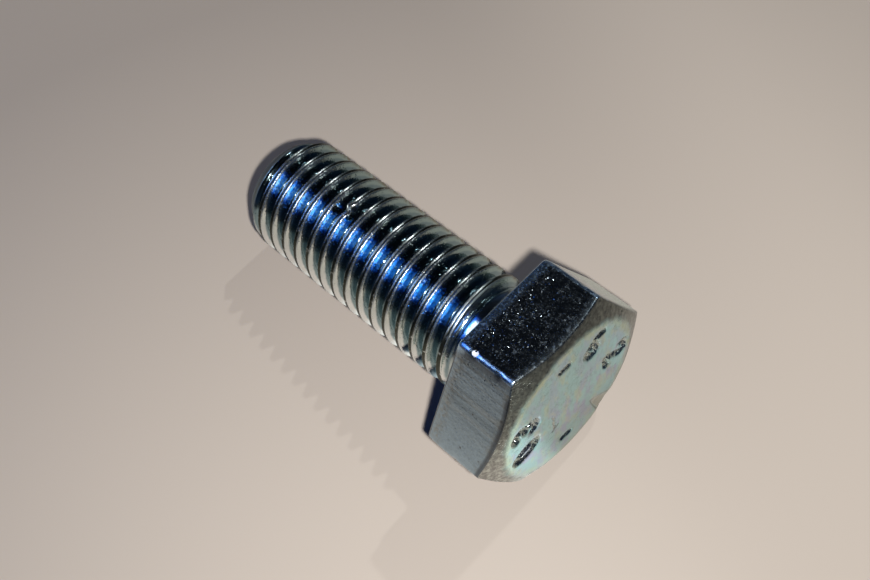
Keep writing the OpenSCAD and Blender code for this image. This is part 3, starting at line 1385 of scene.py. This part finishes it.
@dataclass
class Shank:
    """The neck and the rolled thread, from the washer face to the middle of the tip's end."""

    length: float = 30.2
    neck_length: float = 2.0
    neck_fillet: float = 0.6
    tip_depth: float = 1.225
    tip_angle: float = math.radians(35)
    tip_round: float = 0.2
    diameter: float = 11.85
    pitch: float = 1.75
    crest_width: float = 0.48
    root_width: float = 0.3
    crest_round: float = 0.09
    seam_depth: float = 0.05
    lip_share: float = 0.35
    runout: float = 1.3
    first_crest: float = 0.68
    steps: int = 160
    kink_along: float = 18.97
    kink_angle: float = math.radians(86.4)
    kink_shift: float = 0.36
    knock_depth: float = 0.05

    def __post_init__(self) -> None:
        """Works out the radii and the outline of one pitch."""
        flank = math.radians(30)
        self.crest_radius = self.diameter / 2
        self.depth = (self.pitch - self.crest_width - self.root_width) / (2 * math.tan(flank))
        self.root_radius = self.crest_radius - self.depth
        self.neck_radius = self.crest_radius - self.depth / 2
        self.tip_radius = self.crest_radius - self.tip_depth
        self.outline = self._outline(math.pi / 2 - flank)

    def _outline(self, slope: float) -> list[tuple[float, float, float]]:
        """Returns one pitch's outline as (distance along, drop below the crest, crest share).

        Args:
            slope: Angle of a flank, measured from the axis.

        Returns:
            The outline's points, from one groove's middle to the next.
        """
        tangent = self.crest_round * math.tan(slope / 2)
        ridge = self.crest_width / 2 - tangent
        sunk = self.seam_depth
        half = [(ridge * s, sunk * (1 - smooth_step(0.15, 0.85, s)), 1 - s) for s in (0.3, 0.7)]
        for turn in spread(0.0, slope, 4):
            along = ridge + self.crest_round * math.sin(turn)
            half.append((along, self.crest_round * (1 - math.cos(turn)), self.lip_share))
        start, end = self.crest_width / 2, (self.pitch - self.root_width) / 2
        half += [(start + (end - start) * s, self.depth * s, 0.0) for s in (0.14, 0.93)]
        round_radius = self.root_width / 2 / math.sin(slope)
        for turn in spread(slope, 0.0, 4)[:-1]:
            along = self.pitch / 2 - round_radius * math.sin(turn)
            drop = self.depth + round_radius * (math.cos(turn) - math.cos(slope))
            half.append((along, drop, 0.0))
        bottom = (self.pitch / 2, self.depth + round_radius * (1 - math.cos(slope)), 0.0)
        mirrored = [(-a, d, 0.0 if c == self.lip_share else c) for a, d, c in reversed(half)]
        return mirrored + [(0.0, self.seam_depth, 1.0)] + half + [bottom]

    def _share(self, z: float) -> float:
        """Returns the share of the full thread at a distance from the bearing face."""
        return smooth_step(self.neck_length, self.neck_length + self.runout, z)

    def _chamfer(self, z: float) -> float:
        """Works out the radius that the tip's chamfer leaves.

        Args:
            z: Distance from the bearing face.

        Returns:
            The radius.
        """
        left = self.length - z
        rounding = max(0.0, 1 - left / self.tip_round) ** 2 * self.tip_round / 2
        return self.tip_radius + left * math.tan(self.tip_angle) - rounding

    def _surface_point(self, step: int, turn: int, corner: tuple[float, float, float]) -> Vector:
        """Returns a point of the thread.

        Args:
            step: The step within a turn.
            turn: The turn.
            corner: A point of one pitch's outline.

        Returns:
            The point in the straight frame.
        """
        share_of_turn = step / self.steps
        along = self.first_crest + self.pitch * (turn + share_of_turn) + corner[0]
        x = min(self.length, max(self.neck_length, along))
        full = self.crest_radius - corner[1]
        radius = self.neck_radius + self._share(x) * (full - self.neck_radius)
        angle = 2 * math.pi * share_of_turn - math.pi / 2
        radius += self._flaw(x, angle, radius)
        radius = min(radius, self._chamfer(x))
        on_crest = smooth_step(self.crest_radius - 0.22, self.crest_radius - 0.03, radius)
        x += self.kink_shift * self._kink(x, angle) * on_crest
        return Vector((x, radius * math.cos(angle), radius * math.sin(angle)))

    def _kink(self, x: float, angle: float) -> float:
        """Works out the strength of the knock that bent one crest.

        Args:
            x: Distance from the bearing face.
            angle: Angle round the axis.

        Returns:
            A share from -1 to 1.
        """
        along = (x - self.kink_along) / 0.55
        around = (angle - self.kink_angle) / math.radians(3.0)
        return around * math.exp(0.5 - 0.5 * around * around - along * along)

    def _flaw(self, x: float, angle: float, radius: float) -> float:
        """Works out how far the surface wanders from its true form.

        Args:
            x: Distance from the bearing face.
            angle: Angle round the axis.
            radius: Radius of the true form.

        Returns:
            The distance outward.
        """
        spot = Vector((x, radius * math.cos(angle), radius * math.sin(angle)))
        crest = smooth_step(self.crest_radius - 0.1, self.crest_radius, radius)
        torn = 0.012 + 0.03 * smooth_step(-4.0, -5.6, spot.y)
        wander = 0.012 * noise.noise(spot * 0.7) + torn * crest * noise.noise(spot * 2.3)
        along = (x - self.kink_along) / 0.4
        around = (angle - self.kink_angle) / math.radians(2.5)
        knock = self.knock_depth * math.exp(-along * along - around * around)
        return (wander - knock * crest) * self._share(x)

    def build(self, skin: Skin, washer: list[int]) -> None:
        """Adds the neck, the thread and the tip.

        Args:
            skin: The surface to add to.
            washer: The head's last row, which the neck's first row joins.
        """
        fillet_radius = self.neck_radius + self.neck_fillet
        last = self._ring(skin, 0.0, fillet_radius)
        skin.stitch(washer, last, Zone.BEARING)
        for turn in spread(0.0, math.pi / 2, 8)[1:]:
            x = self.neck_fillet * (1 - math.cos(turn))
            ring = self._ring(skin, x, fillet_radius - self.neck_fillet * math.sin(turn))
            skin.band(last, ring, Zone.BEARING)
            last = ring
        for x in spread(self.neck_fillet, self.neck_length, 6)[1:]:
            ring = self._ring(skin, x, self.neck_radius)
            skin.band(last, ring, Zone.BEARING)
            last = ring
        self._thread(skin)
        self._end(skin)

    def _ring(self, skin: Skin, x: float, radius: float) -> list[int]:
        """Adds a plain round row.

        Args:
            skin: The surface to add to.
            x: Distance from the bearing face.
            radius: The row's radius.

        Returns:
            Its numbers.
        """
        angles = [2 * math.pi * step / self.steps - math.pi / 2 for step in range(self.steps)]
        angles.sort(key=lambda a: a % (2 * math.pi))
        return skin.row(Vector((x, radius * math.cos(a), radius * math.sin(a))) for a in angles)

    def _thread(self, skin: Skin) -> None:
        """Adds the helical surface. Its first and last points lie on the neck's and tip's circles.

        Args:
            skin: The surface to add to.
        """
        turns = range(-3, math.ceil(self.length / self.pitch) + 3)
        columns = []
        for step in range(self.steps):
            column = []
            for turn in turns:
                for corner in self.outline:
                    point = self._surface_point(step, turn, corner)
                    column.append(skin.row([point], crest=corner[2] * self._share(point.x))[0])
            columns.append(column)
        per_turn = len(self.outline)
        last_row = len(columns[0]) - 1
        columns.append([columns[0][min(i + per_turn, last_row)] for i in range(last_row + 1)])
        for low, high in zip(columns, columns[1:]):
            for i in range(last_row):
                corners = (low[i], high[i], high[i + 1], low[i + 1])
                if not self._flattened(skin, corners):
                    skin.face(corners, Zone.THREAD)

    def _flattened(self, skin: Skin, corners: tuple[int, ...]) -> bool:
        """Says whether a face is crushed onto the circle where the thread starts or ends."""
        ends = (self.neck_length, self.length)
        return any(all(abs(skin.points[c].x - end) < 1e-4 for c in corners) for end in ends)

    def _end(self, skin: Skin) -> None:
        """Adds the slightly dished end of the tip.

        Args:
            skin: The surface to add to.
        """
        rim = self._chamfer(self.length)
        last = self._ring(skin, self.length, rim)
        for share in (0.97, 0.9, 0.75, 0.55, 0.35, 0.15):
            dish = 0.16 * smooth_step(0.97, 0.6, share)
            ring = self._ring(skin, self.length - dish, rim * share)
            skin.band(last, ring, Zone.TIP_END)
            last = ring
        skin.fan(last, Vector((self.length - 0.16, 0.0, 0.0)), Zone.TIP_END)


@dataclass
class Screw:
    """The whole screw: one forged, rolled and plated piece."""

    head: Head
    shank: Shank
    merge_distance: float = 1e-4

    def build(self, axis: Vector) -> bpy.types.Object:
        """Makes the screw's mesh and lays it along its axis.

        Args:
            axis: The direction from the head to the tip, in the frame.

        Returns:
            The screw's object.
        """
        skin = Skin()
        self.shank.build(skin, self.head.build(skin))
        mesh = bpy.data.meshes.new("screw_body")
        form = bmesh.new()
        place = form.verts.layers.float_vector.new("place")
        crest = form.verts.layers.float.new("crest")
        edge = form.verts.layers.float.new("edge")
        corners = []
        for point, on_crest, on_edge in zip(skin.points, skin.crest, skin.edge):
            corner = form.verts.new(point)
            corner[place] = point
            corner[crest] = on_crest
            corner[edge] = on_edge
            corners.append(corner)
        for numbers, zone in zip(skin.faces, skin.zones):
            made = form.faces.new([corners[n] for n in numbers])
            made.material_index = zone.value
            made.smooth = True
        bmesh.ops.remove_doubles(form, verts=form.verts, dist=self.merge_distance)
        loose = [v for v in form.verts if not v.link_faces]
        bmesh.ops.delete(form, geom=loose, context="VERTS")
        bmesh.ops.recalc_face_normals(form, faces=form.faces)
        turn = Vector((1.0, 0.0, 0.0)).rotation_difference(axis).to_matrix().to_4x4()
        bmesh.ops.transform(form, matrix=turn @ Matrix.Scale(MM, 4), verts=form.verts)
        form.to_mesh(mesh)
        form.free()
        screw = bpy.data.objects.new("screw_body", mesh)
        bpy.context.scene.collection.objects.link(screw)
        weighted = screw.modifiers.new("even_faces", "WEIGHTED_NORMAL")
        weighted.mode = "FACE_AREA"
        return screw

    def dress(self, screw: bpy.types.Object) -> None:
        """Gives each zone its finish and names what the piece stands for.

        Args:
            screw: The screw's object.
        """
        slope = math.tan(self.shank.tip_angle)
        reach = self.shank.tip_radius + self.shank.length * slope
        finishes = {
            Zone.HEAD_END: HeadEndFinish(),
            Zone.HEAD_SIDE: SideFinish(),
            Zone.BEARING: BearingFinish(),
            Zone.THREAD: ThreadFinish(chamfer_slope=slope, chamfer_reach=reach),
            Zone.TIP_END: TipFinish(),
        }
        for zone in Zone:
            screw.data.materials.append(finishes[zone].material())
        # Light thrown back by the bright metal would blur the floor's shadow.
        screw.visible_diffuse = False
        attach(screw, "root")
        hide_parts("screw")


# ---------------------------------------------------------------------------------------------
# The studio


@dataclass(frozen=True)
class Panel:
    """A flat lamp that faces the screw. Its place is given in metres, in the frame."""

    name: str
    place: Vector
    size: Point
    colour: Colour
    radiance: float
    long_side: Vector = Vector((0.0, 0.0, 1.0))
    lights_paint: bool = True

    def build(self, target: Vector) -> bpy.types.Object:
        """Adds the lamp.

        Args:
            target: The point that it faces.

        Returns:
            The lamp's object.
        """
        light = bpy.data.lights.new(self.name, "AREA")
        light.shape = "RECTANGLE"
        light.size, light.size_y = self.size
        light.color = self.colour
        light.energy = self.radiance * math.pi * self.size[0] * self.size[1]
        lamp = bpy.data.objects.new(self.name, light)
        toward = (self.place - target).normalized()
        across = (self.long_side - self.long_side.dot(toward) * toward).normalized()
        turn = Matrix((across, toward.cross(across), toward)).transposed().to_4x4()
        lamp.matrix_world = Matrix.Translation(self.place) @ turn
        lamp.visible_diffuse = self.lights_paint
        bpy.context.scene.collection.objects.link(lamp)
        return lamp


@dataclass(frozen=True)
class Sun:
    """A far lamp that lights everything evenly from one direction."""

    name: str
    direction: Vector
    strength: float
    angle: float
    colour: Colour

    def build(self) -> bpy.types.Object:
        """Adds the lamp.

        Returns:
            The lamp's object.
        """
        light = bpy.data.lights.new(self.name, "SUN")
        light.energy = self.strength
        light.angle = self.angle
        light.color = self.colour
        lamp = bpy.data.objects.new(self.name, light)
        lamp.rotation_euler = self.direction.to_track_quat("Z", "Y").to_euler()
        bpy.context.scene.collection.objects.link(lamp)
        return lamp


@dataclass(frozen=True)
class Floor:
    """A pale floor. Where the key lamp no longer reaches it, it keeps an even pale level.

    Painted light raises the level slowly along side_way, from side_start to side_end in metres.
    The strip beside the screw, thrown_strip, glows with painted light that shows only in the
    screw's mirrored sides.
    """

    level: float
    colour: Colour = (0.62, 0.545, 0.462)
    half: float = 6.0
    far_level: float = 0.285
    key_place: Vector = Vector((-0.036, 0.033, 0.093))
    key_level: float = 1.18
    side_level: float = 0.19
    side_way: Point = (-0.40, -0.92)
    side_start: float = 0.010
    side_end: float = 0.044
    mirrored_share: float = 0.2
    thrown_back: float = 0.60
    thrown_colour: Colour = (0.64, 0.79, 0.80)
    thrown_strip: tuple[float, ...] = (0.0, 0.003, 0.0050, 0.0080)

    def build(self) -> bpy.types.Object:
        """Adds the floor and marks it as no part of the screw.

        Returns:
            The floor's object.
        """
        mesh = bpy.data.meshes.new("floor")
        half = self.half
        corners = [(-half, -half), (half, -half), (half, half), (-half, half)]
        mesh.from_pydata([(x, y, self.level) for x, y in corners], [], [(0, 1, 2, 3)])
        floor = bpy.data.objects.new("floor", mesh)
        bpy.context.scene.collection.objects.link(floor)
        mesh.materials.append(self._material())
        floor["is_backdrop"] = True
        return floor

    def _material(self) -> bpy.types.Material:
        """Builds the matt paint, with its far level for the camera and for reflections.

        Returns:
            The paint.
        """
        made = bpy.data.materials.new("pale_floor")
        made.use_nodes = True
        shader = Shader(made.node_tree)
        place = shader.add("ShaderNodeNewGeometry").outputs["Position"]
        parts = shader.add("ShaderNodeSeparateXYZ", {}, {0: place})
        x, y = (Signal(shader, socket) for socket in parts.outputs[:2])
        along, across = x - self.key_place.x, y - self.key_place.y
        height = self.key_place.z - self.level
        squared = along * along + across * across + height * height
        lit = self.key_level * height**4 / (squared * squared)
        path = shader.add("ShaderNodeLightPath")
        direct = Signal(shader, path.outputs["Diffuse Depth"]).rise(1.0, 0.0)
        glossy = Signal(shader, path.outputs["Is Glossy Ray"]) * direct
        seen = Signal(shader, path.outputs["Is Camera Ray"]).larger(glossy * self.mirrored_share)
        # Painted light: the floor seen by the camera grows paler along side_way.
        away = x * self.side_way[0] + y * self.side_way[1]
        side = away.rise(self.side_start, self.side_end) * self.side_level
        side = side * Signal(shader, path.outputs["Is Camera Ray"])
        start, full, fading, end = self.thrown_strip
        # Painted light: a glow on the strip beside the screw, seen only in its mirrored sides.
        glow = y.rise(start, full) * y.rise(end, fading) * glossy * self.thrown_back
        missing = (self.far_level - lit).larger(0.0) * seen + side
        kept = shader.blend(missing, (0.0, 0.0, 0.0), self.colour)
        sockets = {
            "Base Color": self.colour,
            "Roughness": 0.6,
            "Specular IOR Level": 0.2,
            "Emission Color": shader.blend(glow, kept, self.thrown_colour),
            "Emission Strength": 1.0,
        }
        paint = shader.add("ShaderNodeBsdfPrincipled", {}, sockets)
        shader.add("ShaderNodeOutputMaterial", {}, {"Surface": paint.outputs[0]})
        return made


@dataclass(frozen=True)
class Studio:
    """A pale floor, the lamps, and dark surroundings with a pale horizon."""

    target: Vector = Vector((0.008, 0.0, 0.0))

    def build(self, floor_level: float) -> None:
        """Adds the floor, the lamps and the surroundings.

        Args:
            floor_level: Height of the floor, in metres.
        """
        Floor(floor_level).build()
        for panel in self._panels():
            panel.build(self.target)
        side = Vector((0.115, -0.635, 0.764))
        Sun("side", side, 0.345, math.radians(1.1), (0.93, 0.97, 0.99)).build()
        self._surroundings()

    @staticmethod
    def _panels() -> list[Panel]:
        """Places the key lamp, which hangs beside the camera, and the tall blue window.

        Returns:
            The lamps.
        """
        rise = Vector((0.095, -0.88, 0.465))
        key = Vector((-0.0359, 0.0333, 0.0934))
        window = Vector((0.632, 0.382, 0.674))
        core = Vector((0.505, 0.395, 0.768))
        inner = Vector((0.442, 0.407, 0.799))
        panels = [
            Panel("key", key, (0.0035, 0.0035), (1.0, 0.98, 0.97), 3210.0),
            Panel("window_edge", core * 0.27, (0.13, 0.024), (0.85, 0.95, 1.0), 2.3, rise, False),
            Panel("window_edge_wide", core * 0.28, (0.16, 0.024), (0.80, 0.92, 1.0), 0.8, rise, False),
            Panel("window_inner", inner * 0.29, (0.10, 0.016), WINDOW_BLUES[2], 0.3, rise, False),
            Panel("window_inner_core", inner * 0.285, (0.09, 0.018), WINDOW_BLUES[4], 0.35, rise, False),
        ]
        for number, (length, blue) in enumerate(zip(spread(0.25, 0.09, 5), WINDOW_BLUES)):
            name = f"window_{number}"
            place = window * (0.30 - WINDOW_STEP * number)
            panels.append(Panel(name, place, (length, 0.082), blue, 0.72, rise, number == 0))
        return panels

    @staticmethod
    def _surroundings() -> None:
        """Sets dark surroundings with a pale band at the horizon."""
        world = bpy.data.worlds.new("surroundings")
        bpy.context.scene.world = world
        world.use_nodes = True
        shader = Shader(world.node_tree)
        direction = shader.add("ShaderNodeTexCoord").outputs["Generated"]
        parts = shader.add("ShaderNodeSeparateXYZ", {}, {0: direction})
        stops = [
            (0.0, (0.05, 0.05, 0.055)),
            (0.05, (0.045, 0.047, 0.055)),
            (0.17, (0.024, 0.036, 0.065)),
            (0.36, (0.016, 0.026, 0.050)),
            (0.60, (0.006, 0.008, 0.013)),
            (1.0, (0.003, 0.004, 0.006)),
        ]
        ramp = shader.add("ShaderNodeValToRGB", {"stops": stops}, {0: parts.outputs["Z"]})
        sky = shader.add("ShaderNodeBackground", {}, {0: ramp.outputs["Color"], 1: 1.0})
        shader.add("ShaderNodeOutputWorld", {}, {0: sky.outputs[0]})


@dataclass(frozen=True)
class Viewpoint:
    """The camera, from the place that it aims at."""

    aim: Vector = Vector((0.009108, -0.000181, 0.0))
    azimuth: float = math.radians(227.195)
    elevation: float = math.radians(62.045)
    roll: float = math.radians(4.0)
    distance: float = 0.109
    lens: float = 48.26
    sensor: float = 36.0

    def place(self) -> bpy.types.Object:
        """Adds the camera and makes it the scene's own.

        Returns:
            The camera's object.
        """
        level = math.cos(self.elevation)
        away = Vector((
            math.sin(self.azimuth) * level,
            -math.cos(self.azimuth) * level,
            math.sin(self.elevation),
        ))
        data = bpy.data.cameras.new("camera")
        data.lens = self.lens
        data.sensor_width = self.sensor
        data.clip_start = 0.001
        camera = bpy.data.objects.new("camera", data)
        across = Vector((0.0, 0.0, 1.0)).cross(away).normalized()
        turn = Matrix((across, away.cross(across), away)).transposed().to_4x4()
        roll = Matrix.Rotation(-self.roll, 4, "Z")
        camera.matrix_world = Matrix.Translation(self.aim + away * self.distance) @ turn @ roll
        bpy.context.scene.collection.objects.link(camera)
        bpy.context.scene.camera = camera
        return camera


def main() -> None:
    """Builds the screw, dresses it and sets the studio and the camera."""
    logging.basicConfig(level=logging.INFO, format="%(message)s")
    cad_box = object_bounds()
    seat = next(m for m in frame["record"]["mounts"] if m["name"] == "seat")
    screw = Screw(Head(), Shank())
    piece = screw.build(Vector(seat["axis"]))
    screw.dress(piece)
    triangles = sum(len(p.vertices) - 2 for p in piece.data.polygons)
    LOG.info("%s: %d triangles", piece.name, triangles)
    Studio().build(cad_box[0].z)
    LOG.info("studio: floor at %.3f mm", cad_box[0].z / MM)
    camera = Viewpoint().place()
    LOG.info("%s: lens %.2f mm", camera.name, camera.data.lens)
    scene = bpy.context.scene
    scene.view_settings.view_transform = "Standard"


if __name__ == "__main__":
    main()
